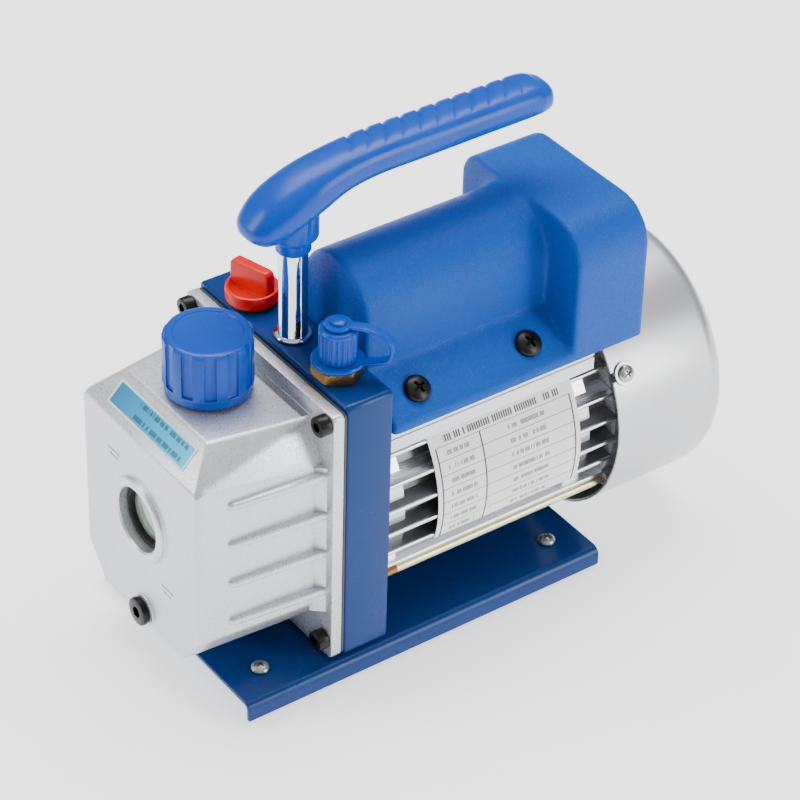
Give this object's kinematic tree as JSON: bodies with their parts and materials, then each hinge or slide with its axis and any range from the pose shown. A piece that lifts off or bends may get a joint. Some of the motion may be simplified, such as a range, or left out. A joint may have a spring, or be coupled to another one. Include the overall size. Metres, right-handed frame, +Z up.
{
  "type": "rotary vane vacuum pump",
  "caption": "Portable rotary vane vacuum pump: oil case with sight glass, pump bracket, finned motor, fan cover, plastic top casing and carrying grip.",
  "frame": {"origin": "centre of the pump's footprint on the surface that it stands on", "axes": "+X to the side with the inlet fitting, +Y from the oil case to the fan cover, +Z up"},
  "size_m": [0.119, 0.2686, 0.2242],
  "materials": {
    "blue_paint": "blue stove enamel on steel and cast iron",
    "blue_plastic": "moulded blue plastic with a fine leather grain",
    "red_plastic": "glossy red moulded plastic",
    "cast_aluminium": "die-cast, satin silver lacquer",
    "machined_aluminium": "bright extruded aluminium",
    "silver_paint": "silver paint on pressed steel",
    "brass": "turned brass",
    "chrome": "bright chrome",
    "steel": "zinc-plated steel",
    "zinc_steel": "yellow zinc-plated steel",
    "black_steel": "black oxide steel",
    "black_plastic": "black moulded plastic",
    "rubber": "black nitrile rubber",
    "glass": "sight glass with oil film",
    "copper": "enamelled copper wire",
    "iron_core": "laminated electrical steel",
    "sealing_plastic": "filled sealing plastic"
  },
  "bodies": {
    "root": {"base_plate": "blue_paint", "rubber_foot_1": "rubber", "rubber_foot_2": "rubber", "rubber_foot_3": "rubber", "rubber_foot_4": "rubber", "foot_screw_1": "steel", "foot_screw_2": "steel", "foot_screw_3": "steel", "foot_screw_4": "steel", "oil_case": "cast_aluminium", "oil_case_gasket": "sealing_plastic", "oil_case_screw_1": "black_steel", "oil_case_screw_2": "black_steel", "oil_case_screw_3": "black_steel", "oil_case_screw_4": "black_steel", "sight_glass": "glass", "sight_glass_seal": "rubber", "pump_bracket": "blue_paint", "handle_post": "chrome", "handle_grip": "blue_plastic", "inlet_fitting": "brass", "pump_stator": "steel", "pump_end_cover": "steel", "shaft_seal": "rubber", "bearing_front": "steel", "bearing_rear": "steel", "motor_housing": "machined_aluminium", "stator_core": "iron_core", "motor_winding": "copper", "rear_end_bell": "cast_aluminium", "tie_rod_1": "zinc_steel", "tie_rod_2": "zinc_steel", "tie_rod_3": "zinc_steel", "tie_rod_4": "zinc_steel", "fan_cover": "silver_paint", "fan_cover_screw_1": "steel", "fan_cover_screw_2": "steel", "top_casing": "blue_plastic", "casing_screw_1": "black_steel", "casing_screw_2": "black_steel", "casing_screw_3": "black_steel", "casing_screw_4": "black_steel", "capacitor": "machined_aluminium", "power_inlet": "black_plastic", "switch_body": "black_plastic"},
    "shaft": {"drive_shaft": "steel", "motor_rotor": "machined_aluminium", "cooling_fan": "black_plastic", "pump_rotor": "steel"},
    "vane_a": {"vane_a": "sealing_plastic"},
    "vane_b": {"vane_b": "sealing_plastic"},
    "oil_cap_seal": {"oil_cap_seal": "rubber"},
    "oil_cap": {"oil_cap": "blue_plastic"},
    "exhaust_cap_seal": {"exhaust_cap_seal": "rubber"},
    "exhaust_cap": {"exhaust_cap": "red_plastic"},
    "inlet_cap_strap": {"inlet_cap_strap": "blue_plastic"},
    "inlet_cap": {"inlet_cap": "blue_plastic"},
    "drain_plug_seal": {"drain_plug_seal": "rubber"},
    "drain_plug": {"drain_plug": "black_steel"},
    "switch_rocker": {"switch_rocker": "red_plastic"}
  },
  "joints": [
    {"name": "shaft_spin", "type": "hinge", "parent": "root", "child": "shaft", "pos_m": [0, 0, 0.0676], "axis": [0, 1, 0], "continuous": true},
    {"name": "vane_a_slide", "type": "slide", "parent": "shaft", "child": "vane_a", "axis": [1, 0, 0], "range_m": [0, 0.0027]},
    {"name": "vane_b_slide", "type": "slide", "parent": "shaft", "child": "vane_b", "axis": [-1, 0, 0], "range_m": [0, 0.0027]},
    {"name": "oil_cap_lift", "type": "slide", "parent": "root", "child": "oil_cap_seal", "axis": [0, 0, 1], "range_m": [0, 0.009]},
    {"name": "oil_cap_turn", "type": "hinge", "parent": "oil_cap_seal", "child": "oil_cap", "pos_m": [0, -0.0969, 0.1], "axis": [0, 0, 1], "range_deg": [0, 1080]},
    {"name": "exhaust_cap_lift", "type": "slide", "parent": "root", "child": "exhaust_cap_seal", "axis": [0, 0, 1], "range_m": [0, 0.008]},
    {"name": "exhaust_cap_turn", "type": "hinge", "parent": "exhaust_cap_seal", "child": "exhaust_cap", "pos_m": [-0.03, -0.0559, 0.1], "axis": [0, 0, 1], "range_deg": [0, 1440]},
    {"name": "inlet_cap_lift", "type": "slide", "parent": "root", "child": "inlet_cap_strap", "axis": [0, 0, 1], "range_m": [0, 0.01016], "deforming": ["inlet_cap_strap"]},
    {"name": "inlet_cap_turn", "type": "hinge", "parent": "inlet_cap_strap", "child": "inlet_cap", "pos_m": [0.032, -0.0559, 0.1], "axis": [0, 0, 1], "range_deg": [0, 2880]},
    {"name": "drain_plug_lift", "type": "slide", "parent": "root", "child": "drain_plug_seal", "axis": [0, -1, 0], "range_m": [0, 0.0075]},
    {"name": "drain_plug_turn", "type": "hinge", "parent": "drain_plug_seal", "child": "drain_plug", "pos_m": [0, 0, 0.0296], "axis": [0, -1, 0], "range_deg": [0, 1800]},
    {"name": "switch_rock", "type": "hinge", "parent": "root", "child": "switch_rocker", "pos_m": [-0.003, 0.0841, 0.152], "axis": [-1, 0, 0], "range_deg": [0, 16]}
  ],
  "couplings": [
    {"joint": "oil_cap_lift", "follows": "oil_cap_turn", "m_per_rad": 0.00047746},
    {"joint": "exhaust_cap_lift", "follows": "exhaust_cap_turn", "m_per_rad": 0.00031831},
    {"joint": "inlet_cap_lift", "follows": "inlet_cap_turn", "m_per_rad": 0.00020213},
    {"joint": "drain_plug_lift", "follows": "drain_plug_turn", "m_per_rad": 0.00023873}
  ]
}
